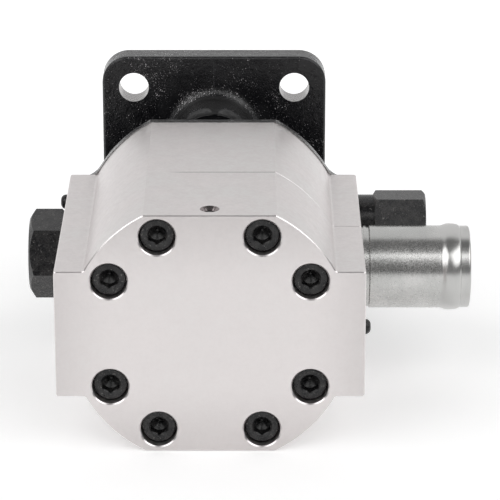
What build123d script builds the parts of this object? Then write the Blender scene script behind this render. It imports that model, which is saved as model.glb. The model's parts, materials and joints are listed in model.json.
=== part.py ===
"""Two-stage hydraulic gear pump.

Row frame, in millimetres: the origin is on the drive shaft's axis at the
flange's mounting face, +Y points out along the shaft towards its free end,
+X is the inlet side and +Z is up.  The rear face looks along -Y.
"""

import math
import os

from build123d import *

# ---------------------------------------------------------------- dimensions

# Stations along the shaft (Y)
MOUNTING_FACE_Y = 0.0
PLATE_THICKNESS = 8.5
NECK_LENGTH = 25.3
RIM_THICKNESS = 3.7
FRONT_BODY_LENGTH = 49.0
REAR_BODY_LENGTH = 39.2
PLATE_BACK_Y = MOUNTING_FACE_Y - PLATE_THICKNESS
RIM_FRONT_Y = PLATE_BACK_Y - NECK_LENGTH
FLANGE_JOINT_Y = RIM_FRONT_Y - RIM_THICKNESS
BODY_JOINT_Y = FLANGE_JOINT_Y - FRONT_BODY_LENGTH
REAR_FACE_Y = BODY_JOINT_Y - REAR_BODY_LENGTH

# Gears
TEETH = 12
MODULE = 2.25
PRESSURE_ANGLE = math.radians(25.0)
BACKLASH_PER_FLANK = 0.08
CENTRE_DISTANCE = TEETH * MODULE
TIP_RADIUS = (TEETH + 2.0) * MODULE / 2.0
ROOT_RADIUS = (TEETH - 2.5) * MODULE / 2.0
GEAR_BORE_CLEARANCE = 0.05
SIDE_CLEARANCE = 0.04
STAGE1_WIDTH = 26.0
STAGE2_WIDTH = 8.0

# The shaft axis is Z = 0, so the body's centre lies half a gear centre lower
IDLER_Z = -CENTRE_DISTANCE
BODY_CENTRE_Z = IDLER_Z / 2.0
GEAR_AXES_Z = (0.0, IDLER_Z)

# Body outline: a disc with a flat top and bottom, and square ears
DISC_RADIUS = 41.3
FLAT_HALF_HEIGHT = 36.6
EAR_HALF_WIDTH = 45.1
EAR_HALF_HEIGHT = 19.4
EAR_CORNER_RADIUS = 0.8
EAR_ROOT_RADIUS = 1.0
EDGE_CHAMFER = 0.25

# The flange's own ears are a little lower, with a wide cast root, and its disc a little larger
FLANGE_DISC_RADIUS = 41.6
FLANGE_EAR_HALF_HEIGHT = 17.6
FLANGE_EAR_ROOT_RADIUS = 8.0

# Cap screws, M6
SCREW_CIRCLE_RADIUS = 33.45
SCREW_ANGLES = (29.3, 63.1)
SCREW_RADIUS = 3.0
SCREW_HOLE_RADIUS = 3.3
SCREW_THREAD_CLEARANCE = 0.02
SCREW_HEAD_RADIUS = 5.0
SCREW_HEAD_HEIGHT = 6.0
SCREW_KEY_FLATS = 5.0
SCREW_SOCKET_DEPTH = 3.2
SCREW_SOCKET_POINT = 1.4
SCREW_SOCKET_BEVEL = 0.5
SCREW_HEAD_EDGE = 0.6
SCREW_TIP_CHAMFER = 0.6
COUNTERBORE_RADIUS = 5.4
COUNTERBORE_CHAMFER = 0.35
COUNTERBORE_DEPTH = 8.3
SCREW_LENGTH = 89.5

# Mounting flange
PLATE_SIDE = 72.0
PLATE_CORNER_RADIUS = 8.6
MOUNTING_HOLE_SPACING = 51.7
MOUNTING_HOLE_RADIUS = 4.8
PILOT_RADIUS = 22.6
PILOT_LENGTH = 6.35
NECK_HALF_WIDTH = 13.2
NECK_ARC_CENTRE_Z = 9.5
NECK_FILLET = 3.4
SHOULDER_INSET = 2.6
SHOULDER_THICKNESS = 6.3
SHOULDER_CHAMFER = 0.6
PLATE_BACK_EDGE = 0.9
PLATE_FACE_CHAMFER = 0.3
PILOT_CHAMFER = 0.6
RIM_EDGE = 0.6

# Shaft, bushes and seal
SHAFT_RADIUS = 8.0
SHAFT_END_RADIUS = 6.35
SHAFT_STEP_Y = 6.0
SHAFT_END_Y = 38.1
SHAFT_REAR_Y = REAR_FACE_Y + 11.3
SHAFT_END_CHAMFER = 0.9
SHAFT_REAR_CHAMFER = 0.6
IDLER_CHAMFER = 0.5
IDLER_END_GAP = 0.3
RUNNING_CLEARANCE = 0.03
BUSH_OUTER_RADIUS = 9.4
KEY_WIDTH = 3.175
KEYWAY_START_Y = 10.0
GEAR_KEY_LENGTH = 12.0
STAGE2_KEY_LENGTH = 6.0
GEAR_KEY_HALF_HEIGHT = 1.4
SEAL_RADIUS = 12.0
SEAL_WIDTH = 7.0
SEAL_BACK_Y = -3.4
RING_GROOVE_RADIUS = 12.7
RING_Y = (3.8, 5.0)

# Bearing blocks, from the flange joint rearwards
BLOCK_CLEARANCE = 0.03
FRONT_BLOCK_LENGTH = 17.0
CENTRE_BLOCK_LENGTH = 12.0
REAR_BLOCK_LENGTH = 9.0
STAGE1_FRONT_Y = FLANGE_JOINT_Y - FRONT_BLOCK_LENGTH
STAGE1_REAR_Y = STAGE1_FRONT_Y - STAGE1_WIDTH - 2 * SIDE_CLEARANCE
STAGE2_FRONT_Y = BODY_JOINT_Y - CENTRE_BLOCK_LENGTH
STAGE2_REAR_Y = STAGE2_FRONT_Y - STAGE2_WIDTH - 2 * SIDE_CLEARANCE
CAVITY_END_Y = STAGE2_REAR_Y - REAR_BLOCK_LENGTH

# Inlet tube, on +X
INLET_Y = FLANGE_JOINT_Y - 31.0
TUBE_RADIUS = 12.7
TUBE_WALL = 1.7
TUBE_SOCKET_X = 36.0
TUBE_END_X = 78.9
TUBE_NECK_RADIUS = 12.25
TUBE_RING_RADIUS = 12.55
BEAD_RADIUS = 13.33
BEAD_START_X = 69.7
BEAD_END_X = 75.9
INLET_PASSAGE_RADIUS = 9.8
TUBE_GROOVE_RADIUS = 14.1
TUBE_GROOVE_X = (39.5, 41.3)
TUBE_RING_SECTION = 0.68

# Outlet side, on -X
OUTLET_Y = FLANGE_JOINT_Y - 19.1
ADAPTER_HEX_FLATS = 24.0
ADAPTER_THREAD_RADIUS = 10.0
ADAPTER_INNER_X = -33.0
ADAPTER_HEX_START_X = -46.3
ADAPTER_END_X = -56.7
ADAPTER_TURN = 10.0
ADAPTER_OUTER_BEVEL = (11.2, 1.8)
ADAPTER_INNER_BEVEL = (13.2, 0.6)
OUTLET_PORT_RADIUS = 7.35
OUTLET_PORT_DEPTH = 14.0
OUTLET_BORE_RADIUS = 5.5
CHECK_BORE_RADIUS = 8.0
CHECK_SEAT_X = -20.0
PRESSURE_PORT_RADIUS = 4.5

# Unloading valve, on +X between the inlet and the flange
VALVE_Y = FLANGE_JOINT_Y - 9.6
VALVE_Z = BODY_CENTRE_Z + 7.1
VALVE_BORE_RADIUS = 5.5
VALVE_SEAT_X = 21.0
VALVE_THREAD_RADIUS = 7.6
VALVE_THREAD_X = 34.6
CAP_NECK_RADIUS = 8.5
CAP_HEX_START_X = 50.2
CAP_HEX_FLATS = 17.5
CAP_END_X = 66.4
CAP_TURN = -2.0
CAP_BEVEL = (8.65, 1.0)
CAP_SPRING_BORE_RADIUS = 4.9
CAP_END_WALL = 4.0
VALVE_PORT_RADIUS = 3.0
VALVE_PORT_X = 13.0

# Oil drillings along Y: radius, X, and Z
RETURN_DRILLING = (2.5, 27.0, BODY_CENTRE_Z + 5.0)
PRESSURE_DRILLING = (2.5, -27.0, BODY_CENTRE_Z)
SUCTION_DRILLING = (3.0, 21.0, BODY_CENTRE_Z)
STAGE2_SUCTION_RADIUS = 3.9
STAGE2_PRESSURE_RADIUS = 3.0

# Small plugs that close the cross drillings
SIDE_PLUG_RADIUS = 2.3
SIDE_PLUG_DEPTH = 8.0
SIDE_PLUG_PROUD = 2.4
SIDE_PLUG_DOME = 1.6
SIDE_PLUG_SHANK_RADIUS = 2.0
TOP_PLUG_RADIUS = 1.75
TOP_PLUG_Y = REAR_FACE_Y + 6.0
TOP_PLUG_RECESS = 0.8
TOP_MOUTH_RADIUS = 2.9
TOP_MOUTH_DEPTH = 1.15
DRAIN_RADIUS = 1.5
PLUG_PLACES = (
    (-1, FLANGE_JOINT_Y - 10.6, BODY_CENTRE_Z + 14.0),
    (1, BODY_JOINT_Y - 17.6, BODY_CENTRE_Z - 5.9),
)

# Joint seals and pressure-balance seals
SEAL_GROOVE_INNER = 0.8
SEAL_GROOVE_WIDTH = 1.5
SEAL_GROOVE_DEPTH = 1.2
SEAL_GROOVE_ROOM = 0.05
BALANCE_SEAL_INNER = 12.6
BALANCE_SEAL_WIDTH = 1.6
BALANCE_SEAL_DEPTH = 1.5

# Dowel pins, two in the ears at each joint
DOWEL_RADIUS = 1.5
DOWEL_LENGTH = 5.6
DOWEL_HOLE_LENGTH = 6.0
DOWEL_X = 40.5
DOWEL_RISE = 15.2

CAVITY_RADIUS = TIP_RADIUS + GEAR_BORE_CLEARANCE


# ------------------------------------------------------------------- helpers

def rod_y(radius, y0, y1, x=0.0, z=0.0):
    """Cylinder along Y from y0 to y1."""
    return Pos(x, (y0 + y1) / 2.0, z) * Rot(90, 0, 0) * Cylinder(radius, abs(y1 - y0))


def rod_x(radius, x0, x1, y, z):
    """Cylinder along X from x0 to x1."""
    return Pos((x0 + x1) / 2.0, y, z) * Rot(0, 90, 0) * Cylinder(radius, abs(x1 - x0))


def cone_y(radius, end_radius, y0, length):
    """Cone frustum along +Y that starts at y0."""
    on_base = (Align.CENTER, Align.CENTER, Align.MIN)
    return Pos(0, y0, 0) * Rot(-90, 0, 0) * Cone(radius, end_radius, length, align=on_base)


def tube_y(outer, inner, y0, y1, x=0.0, z=0.0):
    """Hollow cylinder along Y."""
    return rod_y(outer, y0, y1, x, z) - rod_y(inner, y0, y1, x, z)


def tube_x(outer, inner, x0, x1, y, z):
    """Hollow cylinder along X."""
    return rod_x(outer, x0, x1, y, z) - rod_x(inner, x0, x1, y, z)


def prism_y(sketch, y0, y1):
    """Extrude a sketch drawn in X and Z from y0 to y1, y1 being the larger."""
    return extrude(Plane.XZ.offset(-y1) * sketch, amount=y1 - y0)


def turned_x(points, y, z):
    """Turn a profile of (x, radius) points round an axis along X."""
    outline = Plane.XY * make_face(Polyline(*points, close=True))
    return Pos(0, y, z) * revolve(outline, axis=Axis.X)


def box_between(low, high):
    """Box from its lowest to its highest corner."""
    size = [b - a for a, b in zip(low, high)]
    centre = [(a + b) / 2.0 for a, b in zip(low, high)]
    return Pos(*centre) * Box(*size)


def figure_eight(radius, y0, y1):
    """Two overlapping cylinders round the drive and idler axes."""
    return rod_y(radius, y0, y1, z=0.0) + rod_y(radius, y0, y1, z=IDLER_Z)


def figure_eight_loop(inner, width, y0, y1):
    """Loop of rectangular section that follows the figure-eight's outline."""
    return figure_eight(inner + width, y0, y1) - figure_eight(inner, y0, y1)


def hex_prism_x(flats, x0, x1, y, z, bevels, turn):
    """Hexagonal prism along X; each end's bevel is its circle's radius and its length."""
    (low_radius, low_length), (high_radius, high_length) = bevels
    corner = flats / math.sqrt(3.0)
    flat = Plane.YZ.offset(x0) * (Rot(0, 0, turn) * RegularPolygon(corner, 6))
    body = extrude(flat, amount=x1 - x0)
    bevel = [
        (x0, 0.0),
        (x0, low_radius),
        (x0 + low_length, corner + 0.1),
        (x1 - high_length, corner + 0.1),
        (x1, high_radius),
        (x1, 0.0),
    ]
    rounded = body & turned_x(bevel, 0.0, 0.0)
    return Pos(0, y, z) * rounded


def eared_outline(disc_radius, ear_half_height, root_radius, inset=0.0):
    """Flat-topped disc with an ear on each side, in X and Z, drawn in by inset."""
    disc = Circle(disc_radius - inset)
    band = Rectangle(4 * disc_radius, 2 * (FLAT_HALF_HEIGHT - inset))
    ears = Rectangle(2 * (EAR_HALF_WIDTH - inset), 2 * (ear_half_height - inset))
    outline = (disc & band) + ears
    near_ears = [v for v in outline.vertices() if abs(v.Y) < ear_half_height + 1]
    roots = [v for v in near_ears if abs(v.X) < disc_radius - inset]
    outline = fillet(roots, root_radius)
    corners = [v for v in outline.vertices() if abs(v.X) > EAR_HALF_WIDTH - inset - 0.01]
    outline = fillet(corners, EAR_CORNER_RADIUS)
    return Pos(0, BODY_CENTRE_Z) * outline


def body_outline():
    return eared_outline(DISC_RADIUS, EAR_HALF_HEIGHT, EAR_ROOT_RADIUS)


def flange_outline(inset=0.0):
    return eared_outline(FLANGE_DISC_RADIUS, FLANGE_EAR_HALF_HEIGHT, FLANGE_EAR_ROOT_RADIUS, inset)


def edges_at_y(shape, y):
    """Edges that lie wholly in the plane at y."""
    return [e for e in shape.edges() if abs(e.bounding_box().min.Y - y) < 1e-4
            and abs(e.bounding_box().max.Y - y) < 1e-4]


def screw_places():
    """X and Z of the eight cap screws."""
    places = []
    for angle in SCREW_ANGLES:
        dx = SCREW_CIRCLE_RADIUS * math.cos(math.radians(angle))
        dz = SCREW_CIRCLE_RADIUS * math.sin(math.radians(angle))
        for sx in (-1, 1):
            for sz in (-1, 1):
                places.append((sx * dx, BODY_CENTRE_Z + sz * dz))
    return places


def screw_holes(radius, y0, y1):
    """One cylinder for each cap screw."""
    return [rod_y(radius, y0, y1, x, z) for x, z in screw_places()]


def coil_spring_x(mean_radius, wire_radius, turns, x0, x1, y, z):
    """Compression spring along X between two seats, with its ends inside them."""
    length = x1 - x0 - 2 * wire_radius
    helix = Helix(length / turns, length, mean_radius)
    start = helix @ 0
    section = Plane(origin=start, z_dir=helix % 0) * Circle(wire_radius)
    coil = sweep(section, path=helix, is_frenet=True)
    return Pos(x0 + wire_radius, y, z) * Rot(0, 90, 0) * coil


def o_ring_x(mean_radius, section_radius, x, y, z):
    """O-ring round an axis along X."""
    return Pos(x, y, z) * Rot(0, 90, 0) * Torus(mean_radius, section_radius)


# --------------------------------------------------------------------- gears

def involute(angle):
    """Involute function of a pressure angle."""
    return math.tan(angle) - angle


def gear_outline(bore_radius, turn):
    """Spur gear outline; turn is the angle of one tooth's middle, in degrees."""
    pitch_radius = TEETH * MODULE / 2.0
    base_radius = pitch_radius * math.cos(PRESSURE_ANGLE)
    half_at_pitch = math.pi / (2 * TEETH) - BACKLASH_PER_FLANK / pitch_radius
    flank_steps = 5

    def half_angle(radius):
        pressure = math.acos(min(1.0, base_radius / radius))
        return half_at_pitch + involute(PRESSURE_ANGLE) - involute(pressure)

    def at(radius, angle):
        return (radius * math.cos(angle), radius * math.sin(angle))

    radii = [base_radius + (TIP_RADIUS - base_radius) * i / flank_steps for i in range(flank_steps + 1)]
    edges = []
    for tooth in range(TEETH):
        middle = math.radians(turn) + 2 * math.pi * tooth / TEETH
        following = middle + 2 * math.pi / TEETH
        foot = half_angle(base_radius)
        rising = [at(r, middle - half_angle(r)) for r in radii]
        falling = [at(r, middle + half_angle(r)) for r in reversed(radii)]
        root_start = at(ROOT_RADIUS, middle + foot)
        root_middle = at(ROOT_RADIUS, (middle + following) / 2.0)
        root_end = at(ROOT_RADIUS, following - foot)
        edges.append(Line(at(ROOT_RADIUS, middle - foot), rising[0]))
        edges.append(Spline(*rising))
        edges.append(ThreePointArc(rising[-1], at(TIP_RADIUS, middle), falling[0]))
        edges.append(Spline(*falling))
        edges.append(Line(falling[-1], root_start))
        edges.append(ThreePointArc(root_start, root_middle, root_end))
    return make_face(Wire(edges)) - Circle(bore_radius)


def gear(y0, y1, axis_z, turn):
    """Spur gear on its axis, with one tooth's middle at the angle turn."""
    return Pos(0, 0, axis_z) * prism_y(gear_outline(SHAFT_RADIUS, turn), y0, y1)


def gear_key(y_middle, length, axis_z):
    """Square key half in the shaft and half in the gear, on the +Z side."""
    return box_between(
        (-KEY_WIDTH / 2, y_middle - length / 2, axis_z + SHAFT_RADIUS - GEAR_KEY_HALF_HEIGHT),
        (KEY_WIDTH / 2, y_middle + length / 2, axis_z + SHAFT_RADIUS + GEAR_KEY_HALF_HEIGHT),
    )


STAGE1_GEAR_Y = (STAGE1_REAR_Y + SIDE_CLEARANCE, STAGE1_FRONT_Y - SIDE_CLEARANCE)
STAGE2_GEAR_Y = (STAGE2_REAR_Y + SIDE_CLEARANCE, STAGE2_FRONT_Y - SIDE_CLEARANCE)


def stage1_gear_key():
    return gear_key(sum(STAGE1_GEAR_Y) / 2, GEAR_KEY_LENGTH, 0.0)


def stage2_gear_key():
    return gear_key(sum(STAGE2_GEAR_Y) / 2, STAGE2_KEY_LENGTH, 0.0)


def stage1_drive_gear():
    return gear(*STAGE1_GEAR_Y, 0.0, 90.0) - stage1_gear_key()


def stage1_driven_gear():
    return gear(*STAGE1_GEAR_Y, IDLER_Z, 90.0 + 180.0 / TEETH)


def stage2_drive_gear():
    return gear(*STAGE2_GEAR_Y, 0.0, 90.0) - stage2_gear_key()


def stage2_driven_gear():
    return gear(*STAGE2_GEAR_Y, IDLER_Z, 90.0 + 180.0 / TEETH)


# -------------------------------------------------------------------- shafts

def shaft_keyway():
    """Keyway of the free end, open at the shaft's end."""
    half = KEY_WIDTH / 2.0
    low_z = SHAFT_END_RADIUS - half
    return box_between((-half, KEYWAY_START_Y, low_z), (half, SHAFT_END_Y, low_z + KEY_WIDTH))


def drive_shaft():
    shaft = rod_y(SHAFT_RADIUS, SHAFT_REAR_Y, SHAFT_STEP_Y)
    shaft += rod_y(SHAFT_END_RADIUS, SHAFT_STEP_Y, SHAFT_END_Y)
    shaft = chamfer(edges_at_y(shaft, SHAFT_END_Y), SHAFT_END_CHAMFER)
    shaft = chamfer(edges_at_y(shaft, SHAFT_REAR_Y), SHAFT_REAR_CHAMFER)
    for slot in (shaft_keyway(), stage1_gear_key(), stage2_gear_key()):
        shaft -= slot
    return shaft


def idler_shaft(y0, y1):
    shaft = rod_y(SHAFT_RADIUS, y0, y1, z=IDLER_Z)
    return chamfer(edges_at_y(shaft, y0) + edges_at_y(shaft, y1), IDLER_CHAMFER)


def stage1_idler_shaft():
    rear_end_y = BODY_JOINT_Y - CENTRE_BLOCK_LENGTH / 2 + IDLER_END_GAP
    return idler_shaft(rear_end_y, FLANGE_JOINT_Y - 2 * IDLER_END_GAP)


def stage2_idler_shaft():
    return idler_shaft(SHAFT_REAR_Y, BODY_JOINT_Y - CENTRE_BLOCK_LENGTH / 2 - IDLER_END_GAP)


# ---------------------------------------------------- bearing blocks and seals

def bearing_block(y0, y1, bore_radius):
    """Figure-eight block that fills the cavity, with a bore for each shaft."""
    block = figure_eight(CAVITY_RADIUS - BLOCK_CLEARANCE, y0, y1)
    for z in GEAR_AXES_Z:
        block -= rod_y(bore_radius, y0, y1, z=z)
    return block


def balance_seal(y0, y1):
    """Pressure-balance seal that loops round both bores in a block's outer face."""
    return figure_eight_loop(BALANCE_SEAL_INNER, BALANCE_SEAL_WIDTH, y0, y1)


def front_balance_seal():
    return balance_seal(FLANGE_JOINT_Y - BALANCE_SEAL_DEPTH, FLANGE_JOINT_Y)


def rear_balance_seal():
    return balance_seal(CAVITY_END_Y, CAVITY_END_Y + BALANCE_SEAL_DEPTH)


def front_bearing_block():
    block = bearing_block(STAGE1_FRONT_Y, FLANGE_JOINT_Y, BUSH_OUTER_RADIUS)
    return block - front_balance_seal()


def wear_plate():
    return bearing_block(BODY_JOINT_Y, STAGE1_REAR_Y, SHAFT_RADIUS + 0.3)


def centre_bearing_block():
    return bearing_block(STAGE2_FRONT_Y, BODY_JOINT_Y, BUSH_OUTER_RADIUS)


def rear_bearing_block():
    block = bearing_block(CAVITY_END_Y, STAGE2_REAR_Y, BUSH_OUTER_RADIUS)
    return block - rear_balance_seal()


def bush_pair(y0, y1):
    """One plain bush on each gear axis."""
    inner = SHAFT_RADIUS + RUNNING_CLEARANCE
    return [tube_y(BUSH_OUTER_RADIUS, inner, y0, y1, z=z) for z in GEAR_AXES_Z]


def front_shaft_bush():
    inner = SHAFT_RADIUS + RUNNING_CLEARANCE
    return tube_y(BUSH_OUTER_RADIUS, inner, RIM_FRONT_Y + 2.0, RIM_FRONT_Y + 20.0)


def shaft_seal():
    """Lip seal: a rubber ring with a recess in its outer face."""
    inner = SHAFT_RADIUS + RUNNING_CLEARANCE
    front = SEAL_BACK_Y + SEAL_WIDTH
    ring = tube_y(SEAL_RADIUS, inner, SEAL_BACK_Y, front)
    return ring - tube_y(SEAL_RADIUS - 1.2, inner + 1.0, front - 1.2, front)


def seal_retaining_ring():
    """Internal retaining ring with a gap and two eyes at the bottom."""
    ring = tube_y(RING_GROOVE_RADIUS - 0.1, SEAL_RADIUS - 1.8, *RING_Y)
    for side in (-1, 1):
        ring += rod_y(1.6, *RING_Y, x=side * 3.0, z=-SEAL_RADIUS + 2.2)
    ring -= box_between((-1.3, RING_Y[0], -20.0), (1.3, RING_Y[1], 0.0))
    for side in (-1, 1):
        ring -= rod_y(0.7, *RING_Y, x=side * 3.0, z=-SEAL_RADIUS + 2.0)
    return ring


def joint_seal_loop(y0, y1, trim=0.0):
    inner = CAVITY_RADIUS + SEAL_GROOVE_INNER + trim
    return figure_eight_loop(inner, SEAL_GROOVE_WIDTH - 2 * trim, y0, y1)


def flange_joint_seal():
    return joint_seal_loop(FLANGE_JOINT_Y - SEAL_GROOVE_DEPTH, FLANGE_JOINT_Y, SEAL_GROOVE_ROOM)


def body_joint_seal():
    return joint_seal_loop(BODY_JOINT_Y - SEAL_GROOVE_DEPTH, BODY_JOINT_Y, SEAL_GROOVE_ROOM)


# ------------------------------------------------------------------- flange

def neck_outline(half_width):
    """Upright slot shape of the neck, round the shaft."""
    height = 2 * NECK_ARC_CENTRE_Z
    return Rot(0, 0, 90) * SlotCenterToCenter(height, 2 * half_width)


def dowel_places():
    """X and Z of the two dowels in each joint, in the ears."""
    return ((-DOWEL_X, BODY_CENTRE_Z + DOWEL_RISE), (DOWEL_X, BODY_CENTRE_Z - DOWEL_RISE))


def dowels(joint_y, length):
    """Pin-sized cylinders across the joint at joint_y."""
    half = length / 2
    return [rod_y(DOWEL_RADIUS, joint_y - half, joint_y + half, x, z) for x, z in dowel_places()]


def mounting_flange():
    square = RectangleRounded(PLATE_SIDE, PLATE_SIDE, PLATE_CORNER_RADIUS)
    plate = prism_y(square, PLATE_BACK_Y, MOUNTING_FACE_Y)
    plate = fillet(edges_at_y(plate, PLATE_BACK_Y), PLATE_BACK_EDGE)
    plate = chamfer(edges_at_y(plate, MOUNTING_FACE_Y), PLATE_FACE_CHAMFER)
    rim = prism_y(flange_outline(), FLANGE_JOINT_Y, RIM_FRONT_Y)
    rim = fillet(edges_at_y(rim, RIM_FRONT_Y), RIM_EDGE)
    shoulder_y = RIM_FRONT_Y + SHOULDER_THICKNESS
    shoulder = prism_y(flange_outline(SHOULDER_INSET), RIM_FRONT_Y, shoulder_y)
    shoulder = chamfer(edges_at_y(shoulder, shoulder_y), SHOULDER_CHAMFER)
    neck = prism_y(neck_outline(NECK_HALF_WIDTH), shoulder_y, PLATE_BACK_Y)
    flange = plate + neck + shoulder + rim
    neck_top = NECK_ARC_CENTRE_Z + NECK_HALF_WIDTH + 1
    roots = [e for e in edges_at_y(flange, PLATE_BACK_Y)
             if abs(e.center().Z) < neck_top and abs(e.center().X) < NECK_HALF_WIDTH + 1]
    flange = fillet(roots, NECK_FILLET)
    pilot = rod_y(PILOT_RADIUS, MOUNTING_FACE_Y, PILOT_LENGTH)
    pilot = chamfer(edges_at_y(pilot, PILOT_LENGTH), PILOT_CHAMFER)
    flange += pilot
    flange -= rod_y(BUSH_OUTER_RADIUS, FLANGE_JOINT_Y, PILOT_LENGTH)
    flange -= rod_y(SEAL_RADIUS, SEAL_BACK_Y, PILOT_LENGTH)
    flange -= rod_y(RING_GROOVE_RADIUS, *RING_Y)
    for sx in (-1, 1):
        for sz in (-1, 1):
            x = sx * MOUNTING_HOLE_SPACING / 2
            z = sz * MOUNTING_HOLE_SPACING / 2
            flange -= rod_y(MOUNTING_HOLE_RADIUS, PLATE_BACK_Y, MOUNTING_FACE_Y, x, z)
    for hole in screw_holes(SCREW_RADIUS, FLANGE_JOINT_Y, shoulder_y):
        flange -= hole
    for cut in dowels(FLANGE_JOINT_Y, DOWEL_HOLE_LENGTH):
        flange -= cut
    return flange


# ------------------------------------------------------------------ housings

def drilling_y(drilling, y0, y1):
    """One of the oil drillings along Y, from y0 to y1."""
    radius, x, z = drilling
    return rod_y(radius, y0, y1, x, z)


def side_plug_hole(side, y, z):
    outer = side * EAR_HALF_WIDTH
    return rod_x(SIDE_PLUG_SHANK_RADIUS, outer, outer - side * SIDE_PLUG_DEPTH, y, z)


def front_body():
    body = prism_y(body_outline(), BODY_JOINT_Y, FLANGE_JOINT_Y)
    broken_edges = [e for e in edges_at_y(body, BODY_JOINT_Y) if e.center().X > 1.0]
    body = chamfer(broken_edges, EDGE_CHAMFER)
    body -= figure_eight(CAVITY_RADIUS, BODY_JOINT_Y, FLANGE_JOINT_Y)
    for hole in screw_holes(SCREW_HOLE_RADIUS, BODY_JOINT_Y, FLANGE_JOINT_Y):
        body -= hole
    for cut in dowels(FLANGE_JOINT_Y, DOWEL_HOLE_LENGTH) + dowels(BODY_JOINT_Y, DOWEL_HOLE_LENGTH):
        body -= cut
    body -= joint_seal_loop(FLANGE_JOINT_Y - SEAL_GROOVE_DEPTH, FLANGE_JOINT_Y)
    # inlet socket with its seal groove, and the passage into the gears' suction side
    body -= rod_x(TUBE_GROOVE_RADIUS, *TUBE_GROOVE_X, INLET_Y, BODY_CENTRE_Z)
    body -= rod_x(TUBE_RADIUS, TUBE_SOCKET_X, EAR_HALF_WIDTH, INLET_Y, BODY_CENTRE_Z)
    body -= rod_x(INLET_PASSAGE_RADIUS, 0.0, TUBE_SOCKET_X, INLET_Y, BODY_CENTRE_Z)
    # outlet thread, check valve bore and passage from the pressure side
    body -= rod_x(ADAPTER_THREAD_RADIUS, -EAR_HALF_WIDTH, ADAPTER_INNER_X, OUTLET_Y, BODY_CENTRE_Z)
    body -= rod_x(CHECK_BORE_RADIUS, ADAPTER_INNER_X, CHECK_SEAT_X, OUTLET_Y, BODY_CENTRE_Z)
    body -= rod_x(PRESSURE_PORT_RADIUS, CHECK_SEAT_X, 0.0, OUTLET_Y, BODY_CENTRE_Z)
    # unloading valve thread, bore, inlet port and return to the suction side
    body -= rod_x(VALVE_THREAD_RADIUS, VALVE_THREAD_X, EAR_HALF_WIDTH, VALVE_Y, VALVE_Z)
    body -= rod_x(VALVE_BORE_RADIUS, VALVE_SEAT_X, VALVE_THREAD_X, VALVE_Y, VALVE_Z)
    body -= rod_x(VALVE_PORT_RADIUS, VALVE_PORT_X, VALVE_SEAT_X, VALVE_Y, VALVE_Z)
    body -= drilling_y(RETURN_DRILLING, INLET_Y, VALVE_Y)
    # drillings that join the two stages
    body -= drilling_y(PRESSURE_DRILLING, BODY_JOINT_Y, OUTLET_Y - CHECK_BORE_RADIUS + 2.0)
    body -= drilling_y(SUCTION_DRILLING, BODY_JOINT_Y, INLET_Y)
    body -= side_plug_hole(*PLUG_PLACES[0])
    return body


def rear_body():
    body = prism_y(body_outline(), REAR_FACE_Y, BODY_JOINT_Y)
    body = chamfer(edges_at_y(body, REAR_FACE_Y), EDGE_CHAMFER)
    body -= figure_eight(CAVITY_RADIUS, CAVITY_END_Y, BODY_JOINT_Y)
    seat_y = REAR_FACE_Y + COUNTERBORE_DEPTH
    for hole in screw_holes(SCREW_HOLE_RADIUS, seat_y, BODY_JOINT_Y):
        body -= hole
    for hole in screw_holes(COUNTERBORE_RADIUS, REAR_FACE_Y, seat_y):
        body -= hole
    mouth_radius = COUNTERBORE_RADIUS + COUNTERBORE_CHAMFER
    for x, z in screw_places():
        bevel = cone_y(mouth_radius, COUNTERBORE_RADIUS, REAR_FACE_Y, COUNTERBORE_CHAMFER)
        body -= Pos(x, 0, z) * bevel
    for cut in dowels(BODY_JOINT_Y, DOWEL_HOLE_LENGTH):
        body -= cut
    body -= joint_seal_loop(BODY_JOINT_Y - SEAL_GROOVE_DEPTH, BODY_JOINT_Y)
    # suction and pressure pockets of the second stage, with their drillings
    pocket_y = (STAGE2_FRONT_Y + STAGE2_REAR_Y) / 2
    body -= rod_x(STAGE2_SUCTION_RADIUS, 0.0, SUCTION_DRILLING[1] + 2.0, pocket_y, BODY_CENTRE_Z)
    body -= rod_x(STAGE2_PRESSURE_RADIUS, PRESSURE_DRILLING[1] - 2.0, 0.0, pocket_y, BODY_CENTRE_Z)
    body -= drilling_y(SUCTION_DRILLING, pocket_y, BODY_JOINT_Y)
    body -= drilling_y(PRESSURE_DRILLING, pocket_y, BODY_JOINT_Y)
    body -= side_plug_hole(*PLUG_PLACES[1])
    # bearing drain: down from the top face, and along the shaft axis
    top_z = BODY_CENTRE_Z + FLAT_HALF_HEIGHT
    body -= Pos(0, TOP_PLUG_Y, top_z / 2) * Cylinder(TOP_PLUG_RADIUS, top_z)
    mouth = Cone(TOP_PLUG_RADIUS, TOP_MOUTH_RADIUS, TOP_MOUTH_DEPTH)
    body -= Pos(0, TOP_PLUG_Y, top_z - TOP_MOUTH_DEPTH / 2) * mouth
    body -= rod_y(DRAIN_RADIUS, TOP_PLUG_Y, CAVITY_END_Y)
    return body


def dowel_pins():
    return dowels(FLANGE_JOINT_Y, DOWEL_LENGTH) + dowels(BODY_JOINT_Y, DOWEL_LENGTH)


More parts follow.
